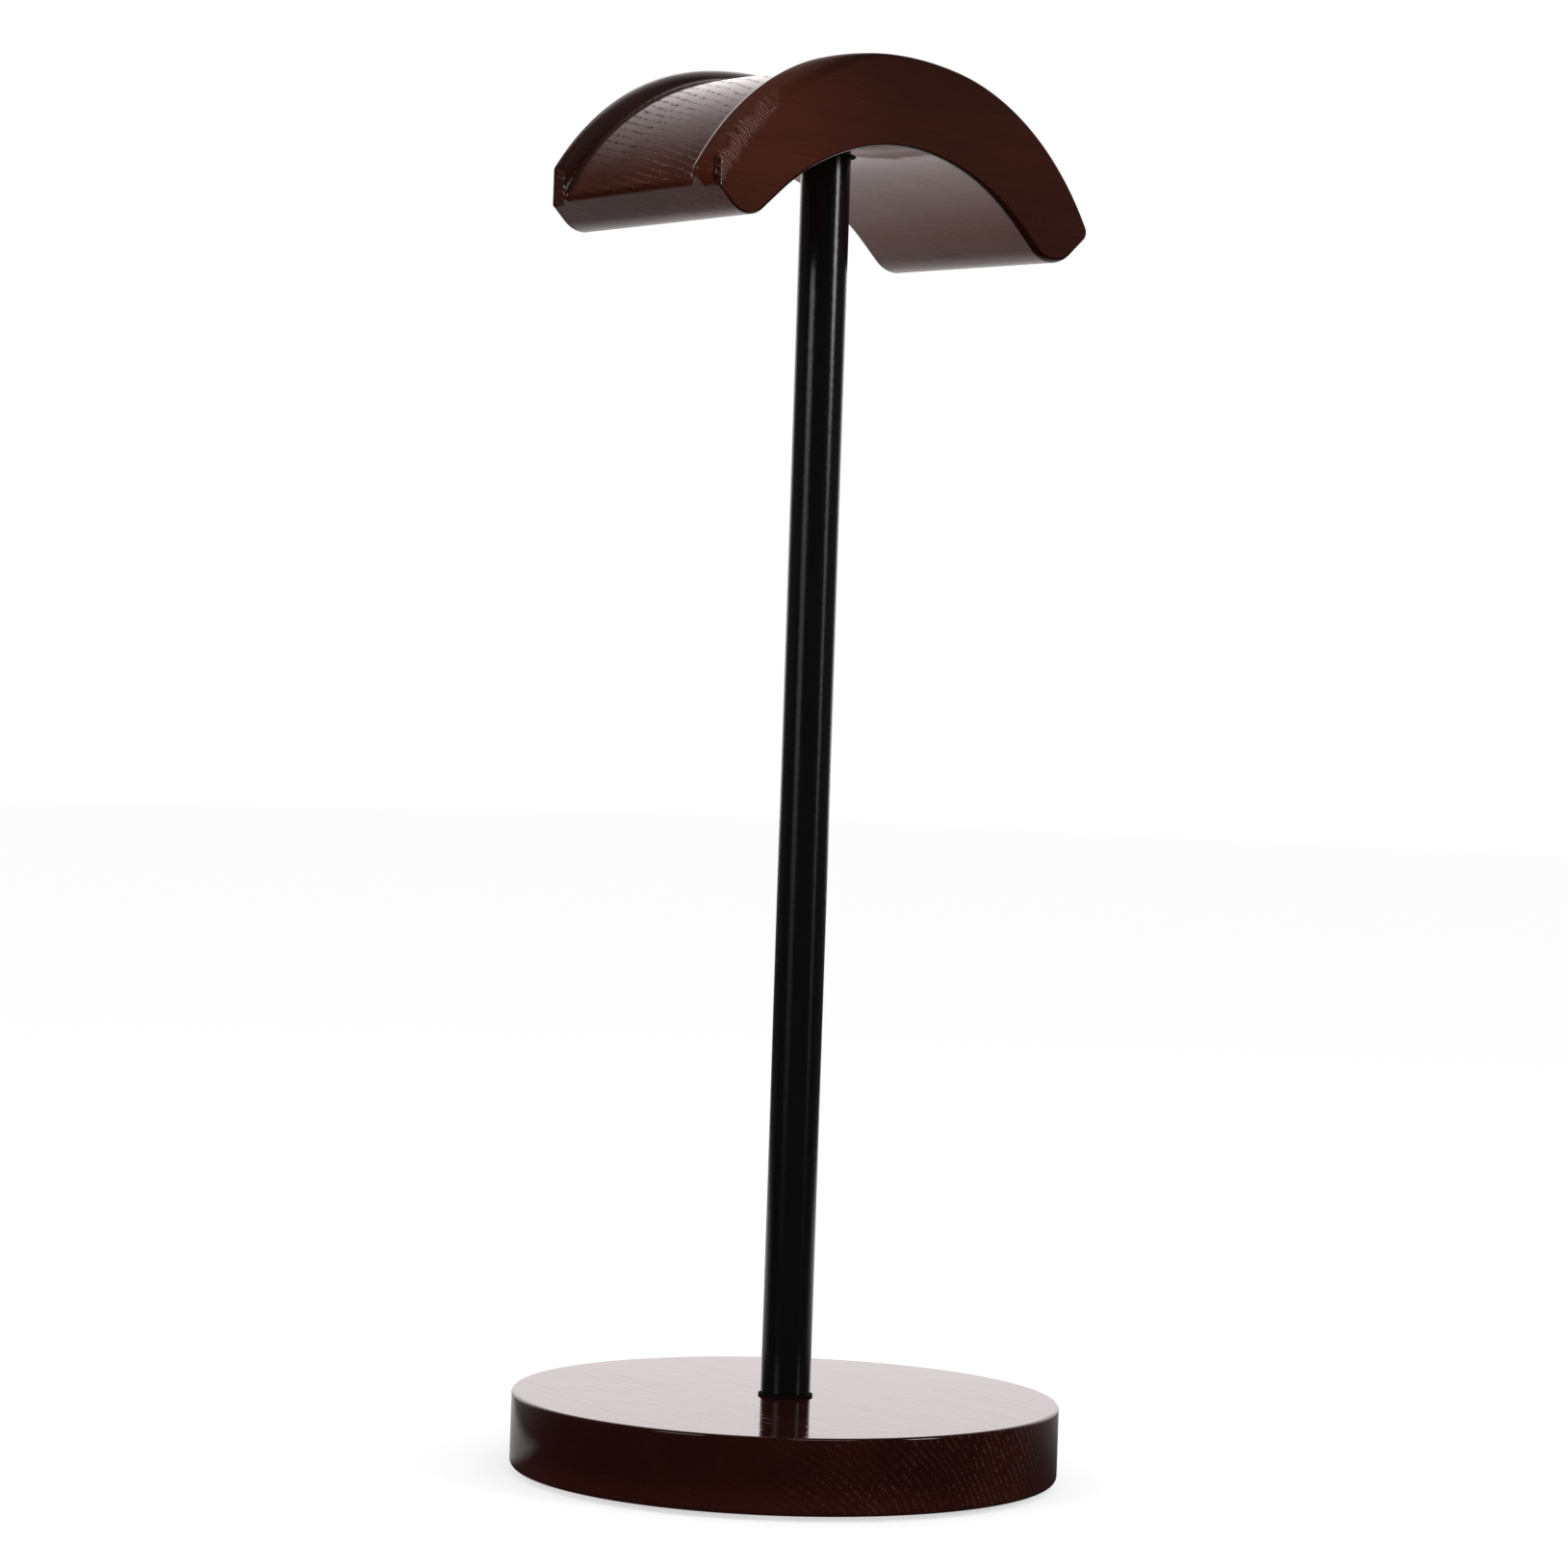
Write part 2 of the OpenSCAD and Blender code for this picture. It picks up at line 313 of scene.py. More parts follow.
def lathe(name, profile, material, steps, centre=(0.0, 0.0)):
    """A closed profile of (radius, z) points in millimetres turned about the Z axis through centre."""
    bm = bmesh.new()
    rings = []
    for k in range(steps):
        a = 2 * math.pi * k / steps
        c, s = math.cos(a), math.sin(a)
        ring = [(centre[0] + r * c, centre[1] + r * s, z) for r, z in profile]
        rings.append([bm.verts.new((x * MM, y * MM, z * MM)) for x, y, z in ring])
    for k in range(steps):
        here, there = rings[k], rings[(k + 1) % steps]
        for i in range(len(profile)):
            j = (i + 1) % len(profile)
            bm.faces.new((here[i], there[i], there[j], here[j]))
    bmesh.ops.remove_doubles(bm, verts=bm.verts, dist=1e-8)
    bmesh.ops.recalc_face_normals(bm, faces=bm.faces)
    mesh = bpy.data.meshes.new(name)
    bm.to_mesh(mesh)
    bm.free()
    return add_object(name, mesh, material)


def quarter(cx, cz, r, start, end, steps=8):
    """Arc about (cx, cz) from start to end degrees, measured from +X towards +Z."""
    turn = [math.radians(start + (end - start) * k / steps) for k in range(steps + 1)]
    return [(cx + r * math.cos(a), cz + r * math.sin(a)) for a in turn]


# ---------------------------------------------------------------- the arch's outline

def at(c, r, degrees):
    """Point at radius r from c, at an angle from vertical towards +X."""
    a = math.radians(degrees)
    return Vector((c[0] + r * math.sin(a), c[1] + r * math.cos(a)))


def arc(c, r, a0, a1, steps, outward=1):
    """Points of an arc with their outward normals."""
    out = []
    for k in range(steps):
        a = a0 + (a1 - a0) * k / steps
        out.append((at(c, r, a), outward * at((0, 0), 1, a)))
    return out


def line(p, q, normal, steps):
    """Points of a straight line with its outward normal."""
    return [(p.lerp(q, k / steps), normal.copy()) for k in range(steps)]


def half_outline(depth, corner_r, end_angle, tip_r):
    """Right half of the arch's outline, depth below the rims, as (point, outward normal, place).

    place is 0 on the outside, 1 on the end face and 2 on the underside, and is used to vary the eased edges.
    The last number of each arc and line is its count of points.
    """
    crown_c = Vector((0, SADDLE_TOP - CROWN_R))
    shoulder_c = at(crown_c, CROWN_R - SHOULDER_R, CROWN_ANGLE)
    under_c = Vector((0, SADDLE_TOP - CROWN_T - UNDER_R))
    corner = at(shoulder_c, SHOULDER_R, end_angle)
    slope = math.radians(END_FACE_SLOPE)
    along = Vector((-math.cos(slope), -math.sin(slope)))
    inward = Vector((-math.sin(slope), math.cos(slope)))
    reach = SHOULDER_R - depth - corner_r
    base = corner + corner_r * inward - shoulder_c
    way = base.dot(along)
    back = way + math.sqrt(way * way - base.dot(base) + reach * reach)
    round_c = corner + corner_r * inward - back * along
    radial = round_c - shoulder_c
    round_angle = math.degrees(math.atan2(radial.x, radial.y))
    straight = at(under_c, UNDER_R, UNDER_ANGLE)
    under_turn = math.radians(UNDER_ANGLE)
    run = Vector((math.cos(under_turn), -math.sin(under_turn)))
    straight_in = Vector((math.sin(under_turn), math.cos(under_turn)))
    gap = straight - corner
    face_len = (gap.x * run.y - gap.y * run.x) / (along.x * run.y - along.y * run.x)
    tip = corner + along * face_len
    tip_c = tip + tip_r * (inward + straight_in) / (1 + inward.dot(straight_in))
    end_top = round_c - corner_r * inward
    end_bottom = tip_c - tip_r * inward
    straight_end = tip_c - tip_r * straight_in
    fine_angle = round_angle - FINE_STRETCH
    end_middle = end_top.lerp(end_bottom, 0.5)
    pieces = [
        (arc(crown_c, CROWN_R - depth, 0, CROWN_ANGLE, 14), 0, 0),
        (arc(shoulder_c, SHOULDER_R - depth, CROWN_ANGLE, fine_angle, 34), 0, 0),
        (arc(shoulder_c, SHOULDER_R - depth, fine_angle, round_angle, 24), 0, 0),
        (arc(round_c, corner_r, round_angle, 180 - END_FACE_SLOPE, 16), 0, 1),
        (line(end_top, end_middle, -inward, 14), 1, 1),
        (line(end_middle, end_bottom, -inward, 5), 1, 1),
        (arc(tip_c, tip_r, 180 - END_FACE_SLOPE, 180 + UNDER_ANGLE, 18), 1, 2),
        (line(straight_end, straight, -straight_in, 10), 2, 2),
        (arc(under_c, UNDER_R, UNDER_ANGLE, 0, 32, outward=-1), 2, 2),
    ]
    out = []
    for points, first, last in pieces:
        for k, (p, n) in enumerate(points):
            out.append((p, n, first + (last - first) * k / len(points)))
    out.append((Vector((0, under_c.y + UNDER_R)), Vector((0, -1)), 2))
    return out


def smooth(x, low, high):
    t = min(max((x - low) / (high - low), 0.0), 1.0)
    return t * t * (3 - 2 * t)


def blend(a, b, t):
    return a + (b - a) * t


def full_outline(depth, corner_r, far_share, left_depth=0.0):
    """The whole outline, clockwise from the top, with the left half sunk left_depth further.

    far_share runs from 0 at the near face to 1 at the far face.
    """
    right = half_outline(depth, corner_r, END_ANGLE, INNER_CORNER_R)
    left_end = END_ANGLE + blend(LEFT_NEAR_CUT, LEFT_FAR_CUT, far_share)
    left = half_outline(depth + left_depth, corner_r, left_end, LEFT_TIP_R)
    other = [(Vector((-p.x, p.y)), Vector((-n.x, n.y)), place) for p, n, place in left[1:-1]]
    return right + other[::-1]


def trimmed(x, from_near, from_far):
    """x kept inside the left end's upright trims, whose edges are eased a little."""
    distance, trim = (from_near, NEAR_TRIM) if from_near < from_far else (from_far, FAR_TRIM)
    corner_r = trim["corner_r"]
    inset = 1 - min(distance / corner_r, 1.0)
    limit = trim["keep"] - corner_r * (1 - math.sqrt(1 - inset * inset))
    limit += trim["runs_out"] * max(distance - trim["straight"], 0.0)
    past = -x - limit
    if past <= -TRIM_EASE:
        return x
    if past >= TRIM_EASE:
        return -limit
    return x + (past + TRIM_EASE) ** 2 / (4 * TRIM_EASE)


def ease_at(x, place, side):
    """Reach over the face and depth of the eased edge, on the near side (-1) or the far side (1)."""
    under = blend(UNDER_EASE, UNDER_LEG_EASE, smooth(abs(x), *LEG_X))
    outer, end, tip = CRISP_EASE, CRISP_EASE, under
    depth = 0.0
    if x < 0 and side < 0:
        # The outer surface is sunk here by the soft edge itself, so only the end face and its tip are eased.
        soft = smooth(-x, SOFT_START, SOFT_FULL)
        outer = CRISP_EASE * (1 - soft)
        end, tip = SOFT_END_EASE, SOFT_TIP_EASE
        depth = blend(CRISP_EASE, SOFT_DEPTH, soft) * (1 - smooth(place, 0.2, 1.0))
    elif x < 0:
        end, tip = FAR_TIP_EASE, FAR_TIP_EASE
    if place < 1:
        reach = blend(outer, end, place)
    elif place < 1.5:
        reach = blend(end, tip, 2 * (place - 1))
    else:
        reach = blend(tip, under, smooth(place, 1.5, 2.0)) if place < 2 else under
    return reach, max(depth, reach)


def channel_profile(rim):
    """(distance from the saddle's face, share of the channel's depth) across one rim, down to the floor."""
    steep = math.radians(rim["steepness"])
    edge_r, cove_r = rim["edge_r"], rim["cove_r"]
    out = []
    for k in range(RIM_EDGE_ROWS + 1):
        a = steep * k / RIM_EDGE_ROWS
        out.append((rim["flat"] + edge_r * math.sin(a), edge_r * (1 - math.cos(a))))
    cove_top = CHANNEL_DEPTH - cove_r * (1 - math.cos(steep))
    wall = max(cove_top - out[-1][1], LEAST_WALL)
    cove_c = out[-1][0] + wall / math.tan(steep) + cove_r * math.sin(steep)
    for k in range(COVE_ROWS + 1):
        a = steep * (1 - k / COVE_ROWS)
        out.append((cove_c - cove_r * math.sin(a), CHANNEL_DEPTH - cove_r * (1 - math.cos(a))))
    return [(x, z / CHANNEL_DEPTH) for x, z in out]


def eased(p, n, place, sunk, value, side):
    """A point of an eased edge: where it lies in the outline's plane, and its depth from the face.

    value runs from 0 on the face to 1 on the outside. The soft edge leans towards the sunk outline.
    """
    reach, depth = ease_at(p.x, place, side)
    soft = smooth(-p.x, SOFT_START, SOFT_FULL) if side < 0 else 0.0
    turn = math.radians(blend(90.0, SOFT_LEAN, soft if place < 1 else 0.0))
    fall = 1 - math.sin(value * turn) / math.sin(turn)
    soft *= blend(1.0, SOFT_END_SHARE, smooth(-p.x, *SOFT_END_X))
    spot = p.lerp(sunk, soft * fall) - n * (reach * fall)
    return spot, depth * (1 - math.cos(value * turn)) / (1 - math.cos(turn))


def saddle_row(kind, value, share, side):
    """One row of points round the arch, on the near side (-1) or the far side (1).

    An "ease" row lies in the eased edge, a "rim" row value millimetres from the face, and a "floor" row at
    y = value. share is how much of the channel's depth the row has.
    """
    half_len = SADDLE_LEN / 2
    row_y = value if kind == "floor" else side * (half_len - (value if kind == "rim" else 0.0))
    far_share = (row_y / half_len + 1) / 2
    rim = full_outline(0.0, OUTER_CORNER_R, far_share)
    floor = full_outline(CHANNEL_DEPTH, FLOOR_CORNER_R, far_share)
    sunk = full_outline(0.0, OUTER_CORNER_R, far_share, SOFT_REACH)
    row = []
    for (p, n, place), (q, _, _), (s, _, _) in zip(rim, floor, sunk):
        if kind == "ease":
            spot, depth = eased(p, n, place, s, value, side)
            y = side * (half_len - depth)
        else:
            spot = p.lerp(q, share) if kind == "rim" else q
            y = row_y
        x = trimmed(spot.x, half_len + y, half_len - y) if spot.x < 0 else spot.x
        row.append((x, y, spot.y))
    return row


def saddle_rows():
    """All rows of points, from the near face to the far face."""
    near_rim, far_rim = channel_profile(NEAR_RIM), channel_profile(FAR_RIM)
    near_foot, far_foot = near_rim[-1][0] - SADDLE_LEN / 2, SADDLE_LEN / 2 - far_rim[-1][0]
    ease_rows = [("ease", k / EASE_ROWS, 0.0) for k in range(EASE_ROWS + 1)]
    near_rows = ease_rows + [("rim", x, share) for x, share in near_rim]
    near_rows += [("floor", blend(near_foot, far_foot, k / FLOOR_ROWS), 1.0) for k in range(1, FLOOR_ROWS)]
    far_rows = ease_rows + [("rim", x, share) for x, share in far_rim]
    return [saddle_row(*row, -1) for row in near_rows] + [saddle_row(*row, 1) for row in far_rows[::-1]]


def build_saddle(material):
    bm = bmesh.new()
    grid = [[bm.verts.new((x * MM, y * MM, z * MM)) for x, y, z in row] for row in saddle_rows()]
    count = len(grid[0])
    for here, there in zip(grid, grid[1:]):
        for i in range(count):
            j = (i + 1) % count
            bm.faces.new((here[i], here[j], there[j], there[i]))
    bm.faces.new(grid[0])
    bm.faces.new(grid[-1][::-1])
    bmesh.ops.recalc_face_normals(bm, faces=bm.faces)
    mesh = bpy.data.meshes.new("saddle_wood")
    bm.to_mesh(mesh)
    bm.free()
    saddle = add_object("saddle_wood", mesh, material)
    cut_with(saddle, seat_cutter(material))
    finish_mesh(saddle)
    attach(saddle, BODY)
    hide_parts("saddle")


def seat_cutter(material):
    """The space of the gasket's seat and the insert's hole, from below the arch."""
    start_z = SADDLE_TOP - CROWN_T - CUT_BELOW
    seat_z = SADDLE_TOP - CROWN_T + SEAT_DEPTH
    hole_z = seat_z + INSERT_HOLE_DEPTH
    profile = [(0.0, start_z), (SEAT_R, start_z), (SEAT_R, seat_z)]
    profile += [(INSERT_HOLE_R, seat_z), (INSERT_HOLE_R, hole_z), (0.0, hole_z)]
    cutter = lathe("seat_cutter", profile, material, SEAT_STEPS)
    # Half a step of turn keeps the cutter's points off the arch's own row of points at its middle.
    cutter.rotation_euler.z = math.pi / SEAT_STEPS
    return cutter


def cut_with(obj, cutter):
    """Takes the cutter out of obj, leaves the result in obj's mesh and deletes the cutter."""
    cut = obj.modifiers.new("cut", "BOOLEAN")
    cut.object = cutter
    cut.solver = "EXACT"
    done = bpy.data.meshes.new_from_object(obj.evaluated_get(bpy.context.evaluated_depsgraph_get()))
    obj.modifiers.clear()
    obj.data = done
    bpy.data.objects.remove(cutter, do_unlink=True)


# ---------------------------------------------------------------- turned pieces

def radius_and_heights(node):
    """A turned node's radius, foot and top in millimetres."""
    low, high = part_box(node)
    return high[0] / MM, low[2] / MM, high[2] / MM


def build_base(material):
    r, z0, z1 = radius_and_heights("base")
    profile = [(PASS_R, z1), (r / 2, z1)]
    profile += quarter(r - BASE_TOP_EASE, z1 - BASE_TOP_EASE, BASE_TOP_EASE, 90, 0)
    profile += quarter(r - BASE_BOTTOM_EASE, z0 + BASE_BOTTOM_EASE, BASE_BOTTOM_EASE, 0, -90)
    profile += [(RECESS_R + RECESS_BEVEL, z0), (RECESS_R, z0 + RECESS_BEVEL)]
    profile += [(RECESS_R, z0 + RECESS_DEPTH), (PASS_R, z0 + RECESS_DEPTH)]
    base = lathe("base_disc", profile, material, BASE_STEPS)
    finish_mesh(base)
    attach(base, BODY)
    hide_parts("base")


def build_pole(material):
    r, z0, z1 = radius_and_heights("pole_tube")
    bore = r - POLE_WALL
    profile = quarter(r - POLE_EASE, z1 - POLE_EASE, POLE_EASE, 90, 0, 5)
    profile += [(r, z0 + (z1 - z0) * k / POLE_ROWS) for k in range(POLE_ROWS - 1, 0, -1)]
    profile += quarter(r - POLE_EASE, z0 + POLE_EASE, POLE_EASE, 0, -90, 5)
    profile += [(bore, z0), (bore, z1)]
    pole = lathe("pole_painted", profile, material, POLE_STEPS)
    finish_mesh(pole)
    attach(pole, BODY)
    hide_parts("pole_tube")


def build_gasket(name, node, material):
    r, z0, z1 = radius_and_heights(node)
    half = (z1 - z0) / 2
    profile = quarter(r - half, z0 + half, half, 90, -90, 12)
    profile += [(PASS_R, z0), (PASS_R, z1)]
    gasket = lathe(name, profile, material, GASKET_STEPS)
    finish_mesh(gasket)
    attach(gasket, BODY)
    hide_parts(node)


def build_pads(material):
    low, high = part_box("foot_pads")
    z0, z1 = low[2] / MM, high[2] / MM
    # The pads lie on the diagonals, so their ring reaches root two times as far as their box.
    ring = (high[0] / MM - PAD_R) * math.sqrt(2)
    pads = []
    for k in range(PAD_COUNT):
        a = 2 * math.pi * (k + 0.5) / PAD_COUNT
        profile = [(0.0, z1), (PAD_R, z1)]
        profile += quarter(PAD_R - PAD_EASE, z0 + PAD_EASE, PAD_EASE, 0, -90, 6)
        profile += [(0.0, z0)]
        centre = (ring * math.cos(a), ring * math.sin(a))
        pads.append(lathe("pad_part", profile, material, PAD_STEPS, centre))
    bpy.ops.object.select_all(action="DESELECT")
    for pad in pads:
        pad.select_set(True)
    bpy.context.view_layer.objects.active = pads[0]
    bpy.ops.object.join()
    joined = pads[0]
    joined.name = "foot_pads_foam"
    finish_mesh(joined)
    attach(joined, BODY)
    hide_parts("foot_pads")


# ---------------------------------------------------------------- material nodes

class Tree:
    """Short calls for adding shader nodes."""

    def __init__(self, tree):
        self.tree = tree
        tree.nodes.clear()

    def add(self, kind, **settings):
        node = self.tree.nodes.new(kind)
        for key, value in settings.items():
            setattr(node, key, value)
        return node

    def put(self, socket, value):
        if isinstance(value, bpy.types.NodeSocket):
            self.tree.links.new(value, socket)
        else:
            socket.default_value = value

    def math(self, operation, a, b=0.0, c=0.0):
        node = self.add("ShaderNodeMath", operation=operation)
        for socket, value in zip(node.inputs, (a, b, c)):
            self.put(socket, value)
        return node.outputs[0]

    def plus(self, a, b):
        return self.math("ADD", a, b)

    def minus(self, a, b):
        return self.math("SUBTRACT", a, b)

    def times(self, product, *others):
        for other in others:
            product = self.math("MULTIPLY", product, other)
        return product

    def scaled(self, value, factor, offset):
        return self.math("MULTIPLY_ADD", value, factor, offset)

    def spread(self, chance, limits):
        """A random number from 0 to 1, as (least, random part)."""
        return self.scaled(chance, limits[1], limits[0])

    def length(self, x, y):
        return self.math("SQRT", self.plus(self.times(x, x), self.times(y, y)))

    def ramp(self, value, low, high, to_low=0.0, to_high=1.0):
        node = self.add("ShaderNodeMapRange", interpolation_type="SMOOTHSTEP")
        for socket, item in zip(node.inputs, (value, low, high, to_low, to_high)):
            self.put(socket, item)
        return node.outputs[0]

    def mix(self, factor, a, b, blend="MIX"):
        node = self.add("ShaderNodeMix", data_type="RGBA", blend_type=blend)
        self.put(node.inputs[0], factor)
        self.put(node.inputs[6], a)
        self.put(node.inputs[7], b)
        return node.outputs[2]

    def combine(self, x, y, z):
        node = self.add("ShaderNodeCombineXYZ")
        for socket, value in zip(node.inputs, (x, y, z)):
            self.put(socket, value)
        return node.outputs[0]

    def split(self, vector):
        node = self.add("ShaderNodeSeparateXYZ")
        self.put(node.inputs[0], vector)
        return node.outputs

    def dot(self, vector, direction):
        node = self.add("ShaderNodeVectorMath", operation="DOT_PRODUCT")
        self.put(node.inputs[0], vector)
        node.inputs[1].default_value = direction
        return node.outputs["Value"]

    def normal(self):
        return self.add("ShaderNodeNewGeometry").outputs["Normal"]

    def noise(self, vector, scale=1.0, detail=2.0, roughness=0.5):
        node = self.add("ShaderNodeTexNoise")
        self.put(node.inputs["Vector"], vector)
        node.inputs["Scale"].default_value = scale
        node.inputs["Detail"].default_value = detail
        node.inputs["Roughness"].default_value = roughness
        return node.outputs[0]

    def stretch(self, along, side, up, scales):
        """A texture place that is drawn out along the fibres."""
        fine = [self.times(across, scales[1]) for across in (side, up)]
        return self.combine(self.times(along, scales[0]), *fine)

    def cells(self, vector):
        """Distance to the nearest cell's middle, and a random number of the cell's own."""
        node = self.add("ShaderNodeTexVoronoi", feature="F1")
        self.put(node.inputs["Vector"], vector)
        node.inputs["Scale"].default_value = 1.0
        node.inputs["Randomness"].default_value = 0.8
        number = self.add("ShaderNodeSeparateColor")
        self.put(number.inputs[0], node.outputs["Color"])
        return node.outputs["Distance"], number.outputs[0]

    def random(self, a, b=0.0):
        """A random number of the pair's own, and three more."""
        node = self.add("ShaderNodeTexWhiteNoise", noise_dimensions="2D")
        self.put(node.inputs["Vector"], self.combine(a, b, 0.0))
        more = self.add("ShaderNodeSeparateColor")
        self.put(more.inputs[0], node.outputs["Color"])
        return node.outputs["Value"], more.outputs

    def bump(self, height, distance):
        node = self.add("ShaderNodeBump")
        node.inputs["Strength"].default_value = 1.0
        node.inputs["Distance"].default_value = distance
        self.put(node.inputs["Height"], height)
        return node.outputs[0]

    def choose(self, factor, a, b):
        """Shader a where factor is 0, and b where it is 1."""
        node = self.add("ShaderNodeMixShader")
        for socket, value in zip(node.inputs, (factor, a, b)):
            self.put(socket, value)
        return node.outputs[0]

    def shader(self, **values):
        node = self.add("ShaderNodeBsdfPrincipled")
        out = self.add("ShaderNodeOutputMaterial")
        self.tree.links.new(node.outputs[0], out.inputs[0])
        for key, value in values.items():
            self.put(node.inputs[key.replace("_", " ")], value)


def new_tree(name):
    material = bpy.data.materials.new(name)
    material.use_nodes = True
    return material, Tree(material.node_tree)


def in_millimetres(t):
    where = t.add("ShaderNodeTexCoord").outputs["Object"]
    scale = t.add("ShaderNodeVectorMath", operation="SCALE")
    t.put(scale.inputs[0], where)
    scale.inputs["Scale"].default_value = 1 / MM
    return scale.outputs[0]


def wood(name, fibre_turn, pith, ring_w, light, dark, film, pores, stain_and_light, worn_and_sheen=None):
    """Ring-porous wood, stained, under clear lacquer.

    fibre_turn is the fibres' direction in degrees from +X about Z. pith is where the tree's middle lies in
    the plane across the fibres: (sideways, up) in millimetres. film holds the lacquer's roughness and how far
    the pores, the fibres and its own waves raise it. pores holds their spacing and diameter, the share that
    is missing and how far they break the lacquer. The stain callback takes the tree and the place and returns
    (how pale the colour is, partly by staining and partly as painted light and shade, how open the pores
    are).
    The worn callback returns (how far it is sanded through, which also paints the sanded band's sheen into
    its colour, the marks' height).
    """
    material, t = new_tree(name)
    where = in_millimetres(t)
    turned = t.add("ShaderNodeMapping", vector_type="POINT")
    t.put(turned.inputs["Vector"], where)
    turned.inputs["Rotation"].default_value = (0, 0, -math.radians(fibre_turn))
    along, side, up = t.split(turned.outputs[0])
    # Rings wander slowly, and far less along the fibres than across them.
    slow = t.noise(t.stretch(along, side, up, RING_WANDER))
    wander = t.scaled(slow, RING_WANDER_MM, -RING_WANDER_MM / 2)
    from_pith = t.length(t.minus(side, pith[0]), t.minus(up, pith[1]))
    in_ring = t.math("FRACT", t.math("DIVIDE", t.plus(from_pith, wander), ring_w))
    big = pore_rows(t, along, side, up, wander, pith, ring_w, pores)
    off_cell, small_chance = t.cells(t.stretch(along, side, up, SMALL_PORES))
    shown = t.math("GREATER_THAN", small_chance, SMALL_PORES_MISSING)
    small = t.times(t.ramp(off_cell, *SMALL_PORE_EDGE), shown, SMALL_PORE_DEPTH)
    # Pores cut across stay open, and those cut along their length are nearly filled by the lacquer.
    fibre = math.radians(fibre_turn)
    end_grain = t.math("ABSOLUTE", t.dot(t.normal(), (math.cos(fibre), math.sin(fibre), 0)))
    unfilled = t.ramp(end_grain, *pores["end_grain"], pores["filled"], 1.0)
    gain, pores_left = stain_and_light(t, where)
    pore = t.times(t.math("MAXIMUM", big, small), unfilled, pores_left)
    # Fine fibres, darker late wood and uneven stain.
    late = t.ramp(in_ring, *LATE_WOOD)
    fine = t.noise(t.stretch(along, side, up, FIBRES), detail=4.0, roughness=0.6)
    blotch = t.noise(t.stretch(along, side, up, BLOTCHES), detail=3.0)
    tone = t.scaled(t.ramp(fine, *NOISE_MOST), TONE["fibres"], t.times(late, TONE["late"]))
    tone = t.plus(tone, t.scaled(blotch, TONE["blotches"], TONE["level"]))
    stained = t.mix(t.ramp(tone, 0.0, 1.0), (*dark, 1), (*light, 1))
    # The gain holds the staining and painted light and shade.
    stained = t.mix(1.0, stained, t.combine(gain, gain, gain), "MULTIPLY")
    colour = t.mix(t.times(pore, pores["dust"]), stained, (*PORE_DUST, 1))
    # The lacquer dips at open pores, and follows the fibres and its own slow waves a little.
    open_pore = t.times(pore, pores["open"])
    height = t.scaled(t.minus(1.0, open_pore), film["pore_relief"], t.times(fine, film["fibre_relief"]))
    height = t.scaled(t.noise(where, FILM_WAVES), film["wave"], height)
    film_rough = film["rough"]
    if worn_and_sheen:
        bare_and_sheen, marks = worn_and_sheen(t, where)
        height = t.scaled(marks, bare_and_sheen, height)
        film_rough = t.scaled(bare_and_sheen, WORN_ROUGH, film["rough"])
        # The sanded band's colour is partly the sanded-through wood and partly painted sheen.
        colour = t.mix(bare_and_sheen, colour, (*BARE_WOOD_AND_SHEEN, 1))
    surface = t.bump(height, MM)
    rough = t.ramp(fine, *NOISE_ALL, *WOOD_ROUGH)
    weight = t.scaled(open_pore, -PORE_COAT_LOSS, 1.0)
    t.shader(Base_Color=colour, Roughness=rough, Normal=surface, IOR=1.45, Specular_IOR_Level=0.0,
             Coat_Weight=weight, Coat_Roughness=film_rough, Coat_IOR=1.5, Coat_Normal=surface)
    return material


def pore_rows(t, along, side, up, wander, pith, ring_w, pores):
    """Large pores: 1 inside them and 0 beside them.

    They are long thin tubes that waver along the fibres, side by side in one row at the start of each ring.
    """
    waver_side = t.noise(t.stretch(along, side, up, PORE_WAVER), detail=1.0)
    waver_up = t.noise(t.stretch(along, up, side, PORE_WAVER), detail=1.0)
    tube_x = t.minus(t.scaled(waver_side, PORE_WAVER_MM, side), pith[0])
    tube_z = t.minus(t.scaled(waver_up, PORE_WAVER_MM, up), pith[1])
    rings_out = t.math("DIVIDE", t.plus(t.length(tube_x, tube_z), wander), ring_w)
    ring = t.math("FLOOR", rings_out)
    round_ring = t.times(t.math("ARCTAN2", tube_x, tube_z), t.times(ring, ring_w))
    ring_chance, _ = t.random(ring)
    count = t.plus(t.math("DIVIDE", round_ring, pores["spacing"]), t.times(ring_chance, ROW_SHIFT))
    tube = t.math("FLOOR", count)
    chance, scatter = t.random(ring, tube)
    off_row = t.minus(t.minus(rings_out, ring), t.spread(scatter[0], ROW_PLACE))
    off_tube = t.minus(t.minus(count, tube), t.spread(scatter[1], PORE_PLACE))
    distance = t.length(t.times(off_row, ring_w), t.times(off_tube, pores["spacing"]))
    pore_r = t.times(t.spread(t.math("POWER", scatter[2], 2.0), PORE_WIDTH), pores["size"] / 2)
    inside = t.ramp(t.math("DIVIDE", distance, pore_r), *PORE_EDGE)
    return t.times(inside, t.math("GREATER_THAN", chance, pores["missing"]))


